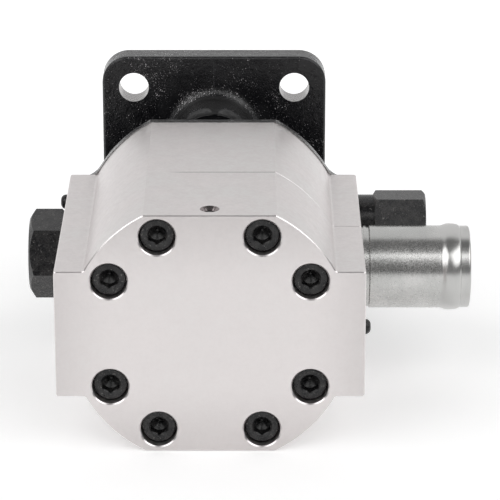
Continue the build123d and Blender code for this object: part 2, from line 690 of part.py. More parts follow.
def cap_screw(x, z):
    """Socket-head cap screw with its hexagon's points up and down."""
    head_back = REAR_FACE_Y + COUNTERBORE_DEPTH - SCREW_HEAD_HEIGHT
    head_front = REAR_FACE_Y + COUNTERBORE_DEPTH
    head = rod_y(SCREW_HEAD_RADIUS, head_back, head_front)
    head = fillet(edges_at_y(head, head_back), SCREW_HEAD_EDGE)
    key_corner = SCREW_KEY_FLATS / math.sqrt(3.0)
    socket_end = head_back + SCREW_SOCKET_DEPTH
    socket = prism_y(Rot(0, 0, 90) * RegularPolygon(key_corner, 6), head_back, socket_end)
    point = cone_y(SCREW_KEY_FLATS / 2, 0.3, socket_end, SCREW_SOCKET_POINT)
    mouth = cone_y(key_corner + 0.1, key_corner - 0.4, head_back, SCREW_SOCKET_BEVEL)
    shank = rod_y(SCREW_RADIUS - SCREW_THREAD_CLEARANCE, head_front, head_front + SCREW_LENGTH)
    shank = chamfer(edges_at_y(shank, head_front + SCREW_LENGTH), SCREW_TIP_CHAMFER)
    return Pos(x, 0, z) * (head + shank - socket - point - mouth)


def cap_screws():
    return [cap_screw(x, z) for x, z in screw_places()]


def side_plug(side, y, z):
    """Driven plug with a low domed head."""
    outer = side * EAR_HALF_WIDTH
    shank = rod_x(SIDE_PLUG_SHANK_RADIUS, outer, outer - side * (SIDE_PLUG_DEPTH - 1.0), y, z)
    head = rod_x(SIDE_PLUG_RADIUS, outer, outer + side * SIDE_PLUG_PROUD, y, z)
    rim = [e for e in head.edges() if abs(abs(e.center().X) - EAR_HALF_WIDTH - SIDE_PLUG_PROUD) < 0.01]
    return fillet(rim, SIDE_PLUG_DOME) + shank


def side_passage_plugs():
    return [side_plug(*place) for place in PLUG_PLACES]


def top_passage_plug():
    """Steel ball pressed into the drilling, just below the top face."""
    top_z = BODY_CENTRE_Z + FLAT_HALF_HEIGHT - TOP_PLUG_RECESS
    return Pos(0, TOP_PLUG_Y, top_z - TOP_PLUG_RADIUS) * Sphere(TOP_PLUG_RADIUS)


# ------------------------------------------------------------- side fittings

def inlet_tube():
    """Hose tube: a grooved foot, a plain length, a rolled bead and a rounded end."""
    bead_middle = (BEAD_START_X + BEAD_END_X) / 2
    inner = TUBE_RADIUS - TUBE_WALL
    foot = EAR_HALF_WIDTH
    outline = [
        (TUBE_SOCKET_X, inner),
        (TUBE_SOCKET_X, TUBE_RADIUS),
        (foot, TUBE_RADIUS),
        (foot, TUBE_NECK_RADIUS),
        (foot + 1.2, TUBE_NECK_RADIUS),
        (foot + 1.2, TUBE_RING_RADIUS),
        (foot + 2.0, TUBE_RING_RADIUS),
        (foot + 2.0, TUBE_NECK_RADIUS),
        (foot + 2.8, TUBE_NECK_RADIUS),
        (foot + 3.1, TUBE_RADIUS),
        (BEAD_START_X, TUBE_RADIUS),
    ]
    front = Polyline(*outline)
    bead = Spline(
        (BEAD_START_X, TUBE_RADIUS),
        (BEAD_START_X + 1.5, (TUBE_RADIUS + BEAD_RADIUS) / 2 + 0.12),
        (bead_middle, BEAD_RADIUS),
        (BEAD_END_X - 1.0, (TUBE_RADIUS + BEAD_RADIUS) / 2 + 0.1),
        (BEAD_END_X, TUBE_RADIUS - 0.1),
        tangents=((1, 0), (0.6, -1)),
    )
    end = Line((BEAD_END_X, TUBE_RADIUS - 0.1), (TUBE_END_X - 0.7, TUBE_RADIUS - 0.1))
    lip = ThreePointArc(
        (TUBE_END_X - 0.7, TUBE_RADIUS - 0.1),
        (TUBE_END_X - 0.2, TUBE_RADIUS - 0.3),
        (TUBE_END_X, TUBE_RADIUS - 0.8),
    )
    back = Polyline((TUBE_END_X, TUBE_RADIUS - 0.8), (TUBE_END_X, inner), (TUBE_SOCKET_X, inner))
    profile = make_face(Wire(front.edges() + bead.edges() + end.edges() + lip.edges() + back.edges()))
    return Pos(0, INLET_Y, BODY_CENTRE_Z) * revolve(profile, axis=Axis.X)


def outlet_adapter():
    """Hexagonal adapter with a threaded port in its outer end."""
    y, z = OUTLET_Y, BODY_CENTRE_Z
    ends = (ADAPTER_END_X, ADAPTER_HEX_START_X)
    bevels = (ADAPTER_OUTER_BEVEL, ADAPTER_INNER_BEVEL)
    fitting = hex_prism_x(ADAPTER_HEX_FLATS, *ends, y, z, bevels, ADAPTER_TURN)
    fitting += rod_x(ADAPTER_THREAD_RADIUS, ADAPTER_HEX_START_X, ADAPTER_INNER_X, y, z)
    fitting -= rod_x(OUTLET_PORT_RADIUS, ADAPTER_END_X, ADAPTER_END_X + OUTLET_PORT_DEPTH, y, z)
    fitting -= rod_x(OUTLET_BORE_RADIUS, ADAPTER_END_X, ADAPTER_INNER_X, y, z)
    return fitting


def outlet_adapter_seal():
    return tube_x(
        ADAPTER_HEX_FLATS / 2 - 0.4, ADAPTER_THREAD_RADIUS, ADAPTER_HEX_START_X, -EAR_HALF_WIDTH,
        OUTLET_Y, BODY_CENTRE_Z,
    )


def check_valve_poppet():
    """Flat-seat poppet with a cone nose, guided on its fluted skirt."""
    y, z = OUTLET_Y, BODY_CENTRE_Z
    seat = CHECK_SEAT_X - 0.05
    skirt_end = seat - 6.0
    nose = [(seat, 0.0), (seat, 4.2), (seat + 2.0, 2.4), (seat + 2.0, 0.0)]
    poppet = rod_x(CHECK_BORE_RADIUS - 0.05, skirt_end, seat, y, z) + turned_x(nose, y, z)
    poppet -= rod_x(5.2, skirt_end, seat - 2.2, y, z)
    for angle in (45, 135, 225, 315):
        dy = (CHECK_BORE_RADIUS + 0.6) * math.cos(math.radians(angle))
        dz = (CHECK_BORE_RADIUS + 0.6) * math.sin(math.radians(angle))
        poppet -= rod_x(2.4, skirt_end, seat, y + dy, z + dz)
    return poppet


def check_valve_spring():
    start = ADAPTER_INNER_X
    end = CHECK_SEAT_X - 6.05
    return coil_spring_x(6.4, 0.5, 3, start, end, OUTLET_Y, BODY_CENTRE_Z)


def unloading_valve_cap():
    """Hexagonal cap with a round neck, hollow for the valve's spring."""
    y, z = VALVE_Y, VALVE_Z
    cap = hex_prism_x(CAP_HEX_FLATS, CAP_HEX_START_X, CAP_END_X, y, z, (CAP_BEVEL, CAP_BEVEL), CAP_TURN)
    cap += rod_x(CAP_NECK_RADIUS, EAR_HALF_WIDTH, CAP_HEX_START_X, y, z)
    cap += rod_x(VALVE_THREAD_RADIUS, VALVE_THREAD_X, EAR_HALF_WIDTH, y, z)
    cap -= rod_x(CAP_SPRING_BORE_RADIUS, VALVE_THREAD_X, CAP_END_X - CAP_END_WALL, y, z)
    groove_x = EAR_HALF_WIDTH - 1.5
    cap -= tube_x(VALVE_THREAD_RADIUS, VALVE_THREAD_RADIUS - 1.0, groove_x - 1.6, groove_x, y, z)
    return cap


def unloading_valve_cap_seal():
    groove_x = EAR_HALF_WIDTH - 2.3
    return o_ring_x(VALVE_THREAD_RADIUS - 0.52, 0.48, groove_x, VALVE_Y, VALVE_Z)


def unloading_valve_spool():
    """Spool with a balancing groove and a stem that centres its spring."""
    y, z = VALVE_Y, VALVE_Z
    start = VALVE_SEAT_X + 0.05
    radius = VALVE_BORE_RADIUS - RUNNING_CLEARANCE
    spool = rod_x(radius, start, start + 10.0, y, z)
    spool += rod_x(2.6, start + 10.0, start + 15.0, y, z)
    for offset in (3.0, 6.0):
        spool -= tube_x(radius, radius - 0.4, start + offset, start + offset + 0.8, y, z)
    return spool


def unloading_valve_spring():
    start = VALVE_SEAT_X + 10.05
    return coil_spring_x(3.9, 0.6, 9, start, CAP_END_X - CAP_END_WALL, VALVE_Y, VALVE_Z)


def inlet_tube_seal():
    """O-ring in the socket's groove, round the tube's foot."""
    mean_radius = (TUBE_RADIUS + TUBE_GROOVE_RADIUS) / 2
    return o_ring_x(mean_radius, TUBE_RING_SECTION, sum(TUBE_GROOVE_X) / 2, INLET_Y, BODY_CENTRE_Z)


# ------------------------------------------------------------------ assembly

NODES = {
    "mounting_flange": mounting_flange,
    "front_body": front_body,
    "rear_body": rear_body,
    "cap_screws": cap_screws,
    "dowel_pins": dowel_pins,
    "drive_shaft": drive_shaft,
    "stage1_gear_key": stage1_gear_key,
    "stage2_gear_key": stage2_gear_key,
    "stage1_drive_gear": stage1_drive_gear,
    "stage1_driven_gear": stage1_driven_gear,
    "stage1_idler_shaft": stage1_idler_shaft,
    "stage2_drive_gear": stage2_drive_gear,
    "stage2_driven_gear": stage2_driven_gear,
    "stage2_idler_shaft": stage2_idler_shaft,
    "front_shaft_bush": front_shaft_bush,
    "front_bearing_block": front_bearing_block,
    "front_block_bushes": lambda: bush_pair(STAGE1_FRONT_Y + 0.3, FLANGE_JOINT_Y - 0.4),
    "wear_plate": wear_plate,
    "centre_bearing_block": centre_bearing_block,
    "centre_block_bushes": lambda: bush_pair(STAGE2_FRONT_Y + 0.3, BODY_JOINT_Y - 0.3),
    "rear_bearing_block": rear_bearing_block,
    "rear_block_bushes": lambda: bush_pair(CAVITY_END_Y + 0.3, STAGE2_REAR_Y - 0.3),
    "front_balance_seal": front_balance_seal,
    "rear_balance_seal": rear_balance_seal,
    "flange_joint_seal": flange_joint_seal,
    "body_joint_seal": body_joint_seal,
    "shaft_seal": shaft_seal,
    "seal_retaining_ring": seal_retaining_ring,
    "inlet_tube": inlet_tube,
    "inlet_tube_seal": inlet_tube_seal,
    "outlet_adapter": outlet_adapter,
    "outlet_adapter_seal": outlet_adapter_seal,
    "check_valve_poppet": check_valve_poppet,
    "check_valve_spring": check_valve_spring,
    "unloading_valve_cap": unloading_valve_cap,
    "unloading_valve_cap_seal": unloading_valve_cap_seal,
    "unloading_valve_spool": unloading_valve_spool,
    "unloading_valve_spring": unloading_valve_spring,
    "side_passage_plugs": side_passage_plugs,
    "top_passage_plug": top_passage_plug,
}


def main():
    os.makedirs("parts", exist_ok=True)
    for name, make in NODES.items():
        made = make()
        shape = Compound(children=made) if isinstance(made, list) else made
        export_step(shape, f"parts/{name}.step")


if __name__ == "__main__":
    main()
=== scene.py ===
"""Looks of the two-stage hydraulic gear pump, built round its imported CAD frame.

Lengths are metres in the row frame: +Y along the drive shaft to its free end, +X the inlet side, +Z up.
"""

import json
import math

import bmesh
import bpy
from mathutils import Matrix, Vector, noise

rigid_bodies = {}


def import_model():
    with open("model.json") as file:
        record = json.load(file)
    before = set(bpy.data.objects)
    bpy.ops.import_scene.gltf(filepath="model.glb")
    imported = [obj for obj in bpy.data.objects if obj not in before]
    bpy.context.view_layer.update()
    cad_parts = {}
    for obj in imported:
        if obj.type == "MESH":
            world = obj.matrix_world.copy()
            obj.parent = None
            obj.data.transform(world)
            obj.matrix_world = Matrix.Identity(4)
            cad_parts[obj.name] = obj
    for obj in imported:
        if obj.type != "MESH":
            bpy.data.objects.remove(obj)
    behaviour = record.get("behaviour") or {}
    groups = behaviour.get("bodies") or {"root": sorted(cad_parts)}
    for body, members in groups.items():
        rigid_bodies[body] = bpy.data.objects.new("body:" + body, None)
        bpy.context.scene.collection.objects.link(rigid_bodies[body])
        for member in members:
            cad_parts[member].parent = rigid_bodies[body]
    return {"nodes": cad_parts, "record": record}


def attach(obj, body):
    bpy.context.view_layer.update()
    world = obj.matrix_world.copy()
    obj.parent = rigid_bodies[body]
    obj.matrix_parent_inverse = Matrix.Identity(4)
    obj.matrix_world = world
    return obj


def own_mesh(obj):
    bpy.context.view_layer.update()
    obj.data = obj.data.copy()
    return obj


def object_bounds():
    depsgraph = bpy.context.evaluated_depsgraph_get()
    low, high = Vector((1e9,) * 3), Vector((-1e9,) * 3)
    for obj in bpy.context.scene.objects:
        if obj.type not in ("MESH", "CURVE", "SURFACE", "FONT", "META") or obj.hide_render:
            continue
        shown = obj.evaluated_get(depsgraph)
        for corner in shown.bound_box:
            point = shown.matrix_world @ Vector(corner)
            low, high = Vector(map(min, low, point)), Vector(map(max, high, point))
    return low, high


# Camera: a long lens behind the pump, looking down along the shaft
CAMERA_PLACE = (0.0116, -0.9264, 0.3041)
CAMERA_PITCH = math.radians(20.0)
CAMERA_LENS = 213.84
CAMERA_SENSOR = 36.0

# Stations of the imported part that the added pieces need
MM = 0.001
CENTRE_Z = -13.5 * MM
PLATE_BACK_Y = -8.5 * MM
SHOULDER_FRONT_Y = -27.5 * MM
RIM_FRONT_Y = -33.8 * MM
JOINT_FACE_Y = -37.5 * MM
NECK_FILLET = 3.4 * MM
NECK_HALF_WIDTH = 13.2 * MM
NECK_ARC_Z = 9.5 * MM
NECK_ROOT_RADIUS = 15.8 * MM
PLATE_HALF = 36.0 * MM
HOLE_OFFSET = 25.85 * MM
HOLE_RADIUS = 4.8 * MM
PORT_RADIUS = 7.35 * MM
PORT_X = (-56.7 * MM, -42.7 * MM)
PORT_Y = -56.6 * MM
BEAD_START_X = 69.4 * MM
BODY_TOP_Z = 23.1 * MM
BODY_JOINT_Y = -86.5 * MM
TOP_PLUG_Y = -119.7 * MM
TOP_MOUTH_RADIUS = 2.9 * MM
SEAM_START_X = (-13.0 * MM, -8.0 * MM)

# Added pieces
THREAD_PITCH = 1.41 * MM
THREAD_HEIGHT = 0.42 * MM
PARTING_LINE_WIDTH = 0.5 * MM
PARTING_LINE_HEIGHT = 0.12 * MM
PAD_HEIGHT = 1.0 * MM
PAD_LENGTH = 7.5 * MM
LEFT_PAD_X = (0.2 * MM, 9.4 * MM)
RIGHT_PAD_X = (1.2 * MM, 10.4 * MM)

# Painted light on the rear face: a painted sheen in its middle and painted shade towards its edges, sooner
# across the height than along the ears
PAINTED_SHADE_RANGE = (14.0 * MM, 42.0 * MM)
PAINTED_SHADE_EAR_START_X = 13.0 * MM

# Studio: two softboxes, a floor whose glow grows towards +Y, and a room bright beyond the part
SOFTBOX_AZIMUTH = 48.0
SOFTBOX_ELEVATION = 41.0
SOFTBOX_DISTANCE = 1.4
SOFTBOX_SIZE = (1.5, 0.95)
SOFTBOX_RADIANCE = 2.0
SOFTBOX_TARGET_Y = -0.06
FLOOR_HALF_SIZE = 6.0
FLOOR_GAP = 0.2 * MM
FLOOR_COLOUR = (0.9, 0.9, 0.9, 1.0)
FLOOR_GLOW_Y = (-0.5, 0.4)
FLOOR_GLOW = (0.03, 0.62)
ROOM_DIRECTION_Y = (0.1, 0.32)
ROOM_STRENGTH = (0.16, 0.82)


# ------------------------------------------------------------------ shader kit

def set_map_range(node, source, result):
    """Sets a Map Range node to take the source range to the result range."""
    for socket, value in zip(("From Min", "From Max", "To Min", "To Max"), (*source, *result)):
        node.inputs[socket].default_value = value


class Shader:
    """One material's node graph, with the nodes that its builders need."""

    def __init__(self, name, colour, metallic, roughness, **sockets):
        self.material = bpy.data.materials.new(name)
        self.material.use_nodes = True
        self.tree = self.material.node_tree
        self.surface = self.tree.nodes["Principled BSDF"]
        self.surface.inputs["Base Color"].default_value = (*colour, 1.0)
        self.surface.inputs["Metallic"].default_value = metallic
        self.surface.inputs["Roughness"].default_value = roughness
        for socket, value in sockets.items():
            self.surface.inputs[socket.replace("_", " ")].default_value = value
        self.coordinates = self.tree.nodes.new("ShaderNodeTexCoord")

    def place(self):
        return self.coordinates.outputs["Object"]

    def normal(self):
        return self.coordinates.outputs["Normal"]

    def link(self, source, socket):
        self.tree.links.new(source, socket)

    def feed(self, socket, source):
        self.link(source, self.surface.inputs[socket])

    def set_or_link(self, socket, value):
        if isinstance(value, bpy.types.NodeSocket):
            self.link(value, socket)
        else:
            socket.default_value = value

    def stretched(self, scale):
        """The object's coordinates, scaled differently along each axis."""
        node = self.tree.nodes.new("ShaderNodeMapping")
        node.inputs["Scale"].default_value = scale
        self.link(self.place(), node.inputs["Vector"])
        return node.outputs["Vector"]

    def noise(self, scale, detail=2.0, roughness=0.5, vector=None):
        node = self.tree.nodes.new("ShaderNodeTexNoise")
        node.inputs["Scale"].default_value = scale
        node.inputs["Detail"].default_value = detail
        node.inputs["Roughness"].default_value = roughness
        self.link(vector or self.place(), node.inputs["Vector"])
        return node.outputs["Fac"]

    def cells(self, scale):
        node = self.tree.nodes.new("ShaderNodeTexVoronoi")
        node.inputs["Scale"].default_value = scale
        self.link(self.place(), node.inputs["Vector"])
        return node.outputs["Distance"]

    def ramp(self, source, low, high, out_low=0.0, out_high=1.0):
        """Smooth step of source from low..high to out_low..out_high."""
        node = self.tree.nodes.new("ShaderNodeMapRange")
        node.interpolation_type = "SMOOTHSTEP"
        set_map_range(node, (low, high), (out_low, out_high))
        self.link(source, node.inputs["Value"])
        return node.outputs["Result"]

    def mix(self, factor, first, second):
        """Colour between first and second."""
        node = self.tree.nodes.new("ShaderNodeMix")
        node.data_type = "RGBA"
        self.set_or_link(node.inputs[0], factor)
        for socket, value in ((node.inputs[6], first), (node.inputs[7], second)):
            if isinstance(value, tuple):
                socket.default_value = (*value, 1.0)
            else:
                self.link(value, socket)
        return node.outputs[2]

    def mix_value(self, factor, first, second):
        """Number between first and second."""
        node = self.tree.nodes.new("ShaderNodeMix")
        self.set_or_link(node.inputs[0], factor)
        self.set_or_link(node.inputs[2], first)
        self.set_or_link(node.inputs[3], second)
        return node.outputs[0]

    def math(self, operation, first, second=0.0):
        node = self.tree.nodes.new("ShaderNodeMath")
        node.operation = operation
        self.set_or_link(node.inputs[0], first)
        self.set_or_link(node.inputs[1], second)
        return node.outputs[0]

    def split(self, vector):
        node = self.tree.nodes.new("ShaderNodeSeparateXYZ")
        self.link(vector, node.inputs[0])
        return node.outputs

    def distance(self, **axes):
        """Distance from the line that two of x, y and z give."""
        along = self.split(self.place())
        squares = []
        for axis, value in axes.items():
            away = self.math("SUBTRACT", along[axis.upper()], value)
            squares.append(self.math("MULTIPLY", away, away))
        return self.math("SQRT", self.math("ADD", *squares))

    def bump(self, height, depth, under=None):
        """Bump whose full height is depth, in metres."""
        node = self.tree.nodes.new("ShaderNodeBump")
        node.inputs["Strength"].default_value = 1.0
        node.inputs["Distance"].default_value = depth
        self.link(height, node.inputs["Height"])
        if under is not None:
            self.link(under, node.inputs["Normal"])
        return node.outputs["Normal"]


# ------------------------------------------------------------------- materials

def satin_aluminium():
    """Extruded and faced aluminium: die lines along the sides, a fine faced end and bright cut edges.

    The small plug's mouth is darker, painted shade for its hole, and the joint of the two bodies is darker.
    The rear face has a painted sheen in its middle and painted shade towards its edges.
    """
    s = Shader("satin_aluminium", (0.72, 0.715, 0.71), 1.0, 0.4)
    mottle = s.noise(330.0, 4.0, 0.65)
    warm = s.ramp(s.noise(45.0, 2.0), 0.4, 0.62)
    tone = s.mix(warm, (0.765, 0.726, 0.722), (0.75, 0.73, 0.722))
    tone = s.mix(s.ramp(mottle, 0.3, 0.7), (0.725, 0.690, 0.686), tone)
    facing = s.math("ABSOLUTE", s.split(s.normal())["Y"])
    end_face = s.ramp(facing, 0.86, 0.96)
    along = s.split(s.place())
    # Painted light: the rear face is coloured brighter in its middle (painted sheen) and darker towards its
    # edges (painted shade)
    off_middle = s.math("MAXIMUM", s.math("ABSOLUTE", s.math("SUBTRACT", along["Z"], CENTRE_Z)),
                        s.math("SUBTRACT", s.math("ABSOLUTE", along["X"]), PAINTED_SHADE_EAR_START_X))
    painted_shade_edge = s.ramp(off_middle, *PAINTED_SHADE_RANGE)
    painted_face_sheen_and_shade = s.mix(painted_shade_edge, (0.80, 0.762, 0.756), (0.60, 0.568, 0.563))
    tone = s.mix(s.math("MULTIPLY", end_face, 0.75), tone, painted_face_sheen_and_shade)
    # Painted shade: the cone of the plug's mouth is coloured dark, like the shade inside a deep hole, and
    # made less rough
    near_plug = s.ramp(s.distance(x=0.0, y=TOP_PLUG_Y),
                       TOP_MOUTH_RADIUS, TOP_MOUTH_RADIUS + 0.1 * MM, 1.0, 0.0)
    below_top = s.ramp(along["Z"], BODY_TOP_Z - 0.08 * MM, BODY_TOP_Z - 0.03 * MM, 1.0, 0.0)
    mouth_painted_shade = s.math("MULTIPLY", near_plug, below_top)
    off_joint = s.math("ABSOLUTE", s.math("SUBTRACT", along["Y"], BODY_JOINT_Y))
    seam = s.math("MULTIPLY", s.ramp(off_joint, 0.12 * MM, 0.32 * MM, 1.0, 0.0),
                  s.ramp(along["X"], *SEAM_START_X))
    seam = s.math("MULTIPLY", seam, s.ramp(along["Z"], BODY_TOP_Z - 0.1 * MM, BODY_TOP_Z - 0.05 * MM))
    tone = s.mix(seam, tone, (0.24, 0.23, 0.23))
    s.feed("Base Color", s.mix(mouth_painted_shade, tone, (0.30, 0.265, 0.265)))
    side_face = s.ramp(facing, 0.1, 0.3, 1.0, 0.0)
    flat_face = s.math("MAXIMUM", end_face, side_face)
    grain = s.noise(900.0, 3.0, 0.6)
    rough_flat = s.ramp(grain, 0.3, 0.7, 0.33, 0.47)
    rough = s.mix_value(flat_face, 0.28, rough_flat)
    s.feed("Roughness", s.math("SUBTRACT", rough, s.math("MULTIPLY", mouth_painted_shade, 0.15)))
    die_lines = s.noise(1.0, 2.0, 0.6, s.stretched((1500.0, 12.0, 1500.0)))
    faced = s.noise(1.0, 2.0, 0.5, s.stretched((60.0, 60.0, 1900.0)))
    lines = s.math("ADD", s.math("MULTIPLY", die_lines, side_face), s.math("MULTIPLY", faced, end_face))
    first = s.bump(lines, 0.000006)
    s.feed("Normal", s.bump(grain, 0.000006, first))
    return s.material


def black_paint():
    """Glossy black paint over a sand casting, with bare machined metal in the bolt holes and on the front."""
    s = Shader("black_paint", (0.012, 0.012, 0.013), 0.0, 0.25, Specular_IOR_Level=0.55)
    grit = s.noise(1500.0, 4.0, 0.65)
    pits = s.ramp(s.cells(950.0), 0.05, 0.42)
    # Painted glints: light specks in the paint's colour, crowded on the neck's fillet, none on the neck's top
    # and fewer past its root
    crowd = s.ramp(s.noise(85.0, 3.0, 0.6), 0.42, 0.68, -0.03, 0.055)
    from_neck = s.distance(x=0.0, z=NECK_ARC_Z)
    neck_glint_band = s.ramp(from_neck, NECK_HALF_WIDTH + 0.3 * MM, NECK_HALF_WIDTH + 0.9 * MM, -0.2, 0.065)
    beyond_root = s.ramp(from_neck, NECK_ROOT_RADIUS, NECK_ROOT_RADIUS + 2.0 * MM, 0.0, -0.065)
    crowd = s.math("ADD", crowd, s.math("ADD", neck_glint_band, beyond_root))
    specks = s.ramp(s.math("ADD", s.noise(2900.0, 2.0, 0.6), crowd), 0.68, 0.715)
    swell = s.noise(240.0, 2.0)
    along = s.split(s.place())
    in_hole = None
    for sx in (-1, 1):
        for sz in (-1, 1):
            near = s.ramp(s.distance(x=sx * HOLE_OFFSET, z=sz * HOLE_OFFSET), HOLE_RADIUS + 0.00002,
                          HOLE_RADIUS + 0.0001, 1.0, 0.0)
            in_hole = near if in_hole is None else s.math("MAXIMUM", in_hole, near)
    front = s.ramp(along["Y"], -0.0004, -0.0002)
    joint_face = s.ramp(along["Y"], JOINT_FACE_Y + 0.02 * MM, JOINT_FACE_Y + 0.06 * MM, 1.0, 0.0)
    bare = s.math("MAXIMUM", s.math("MAXIMUM", in_hole, front), joint_face)
    turned = s.noise(1.0, 2.0, 0.5, s.stretched((1500.0, 4200.0, 1500.0)))
    patch = s.ramp(s.noise(110.0, 2.0), 0.45, 0.62)
    paint = s.mix(patch, (0.005, 0.005, 0.006), (0.010, 0.010, 0.011))
    rim = s.ramp(along["Y"], RIM_FRONT_Y - 0.3 * MM, RIM_FRONT_Y + 0.3 * MM, 1.0, 0.0)
    paint = s.mix(rim, paint, (0.035, 0.034, 0.035))
    # Painted light: the paint on the neck's top is lighter, lifting the dark reflection there
    neck_painted_light = s.math("MULTIPLY", s.ramp(from_neck, NECK_HALF_WIDTH + 0.9 * MM, NECK_HALF_WIDTH + 0.3 * MM),
                     s.ramp(along["Y"], SHOULDER_FRONT_Y, SHOULDER_FRONT_Y + 0.1 * MM))
    paint = s.mix(neck_painted_light, paint, (0.024, 0.0235, 0.024))
    # Painted glints: the specks take a light base colour
    painted_glint_speck = s.math("MULTIPLY", specks, s.ramp(s.noise(900.0), 0.35, 0.6, 0.2, 1.0))
    paint = s.mix(painted_glint_speck, paint, (0.55, 0.53, 0.54))
    metal = s.mix(s.ramp(turned, 0.35, 0.65), (0.26, 0.25, 0.25), (0.37, 0.36, 0.355))
    s.feed("Base Color", s.mix(bare, paint, metal))
    s.feed("Metallic", bare)
    glossy = s.ramp(grit, 0.3, 0.7, 0.13, 0.27)
    s.feed("Roughness", s.math("ADD", glossy, s.math("MULTIPLY", bare, 0.08)))
    painted = s.math("SUBTRACT", 1.0, bare)
    relief = s.math("ADD", s.math("MULTIPLY", grit, 0.7), s.math("MULTIPLY", pits, 0.3))
    cast = s.bump(s.math("MULTIPLY", relief, painted), 0.0002)
    wavy = s.bump(s.math("MULTIPLY", swell, painted), 0.0003, cast)
    s.feed("Normal", s.bump(s.math("MULTIPLY", turned, bare), 0.00001, wavy))
    return s.material


def black_oxide():
    """Blackened steel with a fine forged grain and a few rubbed specks."""
    s = Shader("black_oxide_steel", (0.02, 0.02, 0.021), 0.0, 0.35, Specular_IOR_Level=0.4)
    grain = s.noise(1900.0, 3.0, 0.6)
    specks = s.ramp(s.noise(1300.0, 2.0, 0.7), 0.62, 0.72)
    tone = s.mix(s.ramp(s.noise(420.0, 3.0), 0.36, 0.64), (0.004, 0.004, 0.005), (0.022, 0.021, 0.021))
    s.feed("Base Color", s.mix(specks, tone, (0.14, 0.135, 0.13)))
    s.feed("Roughness", s.ramp(grain, 0.3, 0.7, 0.22, 0.36))
    s.feed("Normal", s.bump(grain, 0.00003))
    return s.material


def zinc_plate():
    """Bright zinc over a rolled tube: a fine sparkle, smoother on the bead."""
    s = Shader("zinc_plated_steel", (0.70, 0.70, 0.69), 1.0, 0.16)
    mist = s.noise(90.0, 3.0)
    s.feed("Base Color", s.mix(s.ramp(mist, 0.4, 0.62), (0.52, 0.52, 0.51), (0.60, 0.595, 0.585)))
    sparkle = s.noise(1500.0, 4.0, 0.7)
    along = s.split(s.place())["X"]
    plain = s.ramp(along, BEAD_START_X - 0.2 * MM, BEAD_START_X + 0.2 * MM, 1.0, 0.0)
    rough = s.ramp(sparkle, 0.3, 0.7, 0.2, 0.31)
    s.feed("Roughness", s.mix_value(plain, 0.26, rough))
    relief = s.math("MULTIPLY", sparkle, s.math("ADD", 0.15, s.math("MULTIPLY", plain, 0.85)))
    s.feed("Normal", s.bump(relief, 0.000018))
    return s.material


def ground_steel():
    """Ground and oiled steel."""
    s = Shader("ground_steel", (0.56, 0.56, 0.57), 1.0, 0.25)
    rings = s.noise(1.0, 2.0, 0.6, s.stretched((180.0, 3600.0, 180.0)))
    s.feed("Base Color", s.mix(s.ramp(s.noise(120.0), 0.4, 0.6), (0.54, 0.54, 0.55), (0.60, 0.60, 0.60)))
    s.feed("Roughness", s.ramp(rings, 0.3, 0.7, 0.2, 0.34))
    s.feed("Normal", s.bump(rings, 0.000008))
    return s.material


def bearing_bronze():
    """Sintered bronze, mottled."""
    s = Shader("bearing_bronze", (0.60, 0.43, 0.21), 1.0, 0.35)
    tone = s.ramp(s.noise(220.0, 3.0), 0.4, 0.62)
    s.feed("Base Color", s.mix(tone, (0.56, 0.39, 0.18), (0.65, 0.48, 0.26)))
    grain = s.noise(1600.0, 3.0)
    s.feed("Roughness", s.ramp(grain, 0.3, 0.7, 0.3, 0.45))
    s.feed("Normal", s.bump(grain, 0.00001))
    return s.material


def seal_rubber():
    """Matt black nitrile with a little dust."""
    s = Shader("seal_rubber", (0.025, 0.025, 0.026), 0.0, 0.6)
    dust = s.ramp(s.noise(400.0, 4.0, 0.7), 0.45, 0.75)
    s.feed("Base Color", s.mix(dust, (0.02, 0.02, 0.021), (0.045, 0.044, 0.043)))
    grain = s.noise(2200.0, 3.0)
    s.feed("Roughness", s.ramp(grain, 0.3, 0.7, 0.5, 0.7))
    s.feed("Normal", s.bump(grain, 0.00002))
    return s.material


def spring_steel():
    """Drawn and oil-tempered wire."""
    s = Shader("spring_steel", (0.30, 0.30, 0.31), 1.0, 0.3)
    drawn = s.noise(1400.0, 3.0)
    s.feed("Base Color", s.mix(s.ramp(s.noise(300.0), 0.4, 0.6), (0.26, 0.26, 0.28), (0.36, 0.355, 0.35)))
    s.feed("Roughness", s.ramp(drawn, 0.3, 0.7, 0.22, 0.4))
    s.feed("Normal", s.bump(drawn, 0.00001))
    return s.material


# ------------------------------------------------------------------ new pieces

def mesh_object(name, bm, material):
    """Smooth piece made from bm, riding on the housing."""
    mesh = bpy.data.meshes.new(name)
    bm.normal_update()
    bm.to_mesh(mesh)
    bm.free()
    for polygon in mesh.polygons:
        polygon.use_smooth = True
    piece = bpy.data.objects.new(name, mesh)
    bpy.context.scene.collection.objects.link(piece)
    mesh.materials.append(material)
    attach(piece, "housing")
    return piece


def swept_ridge(name, path, side, up, width, height, material):
    """A low rounded ridge along path; side and up give its frame at each point."""
    profile = [(-0.5, -0.25), (-0.36, 0.45), (0.0, 1.0), (0.36, 0.45), (0.5, -0.25)]
    bm = bmesh.new()
    rows = []
    for index, point in enumerate(path):
        wobble = noise.noise(Vector(point) * 900.0)
        row = []
        for across, rise in profile:
            shift = side[index] * (across * width * (1.0 + 0.5 * wobble))
            lift = up[index] * (rise * height * (1.0 + 0.8 * wobble))
            row.append(bm.verts.new(Vector(point) + shift + lift))
        rows.append(row)
    for first, second in zip(rows, rows[1:]):
        for k in range(len(profile) - 1):
            bm.faces.new((first[k], first[k + 1], second[k + 1], second[k]))
        bm.faces.new((first[-1], first[0], second[0], second[-1]))
    bm.faces.new(rows[0])
    bm.faces.new(list(reversed(rows[-1])))
    bmesh.ops.recalc_face_normals(bm, faces=bm.faces)
    return mesh_object(name, bm, material)


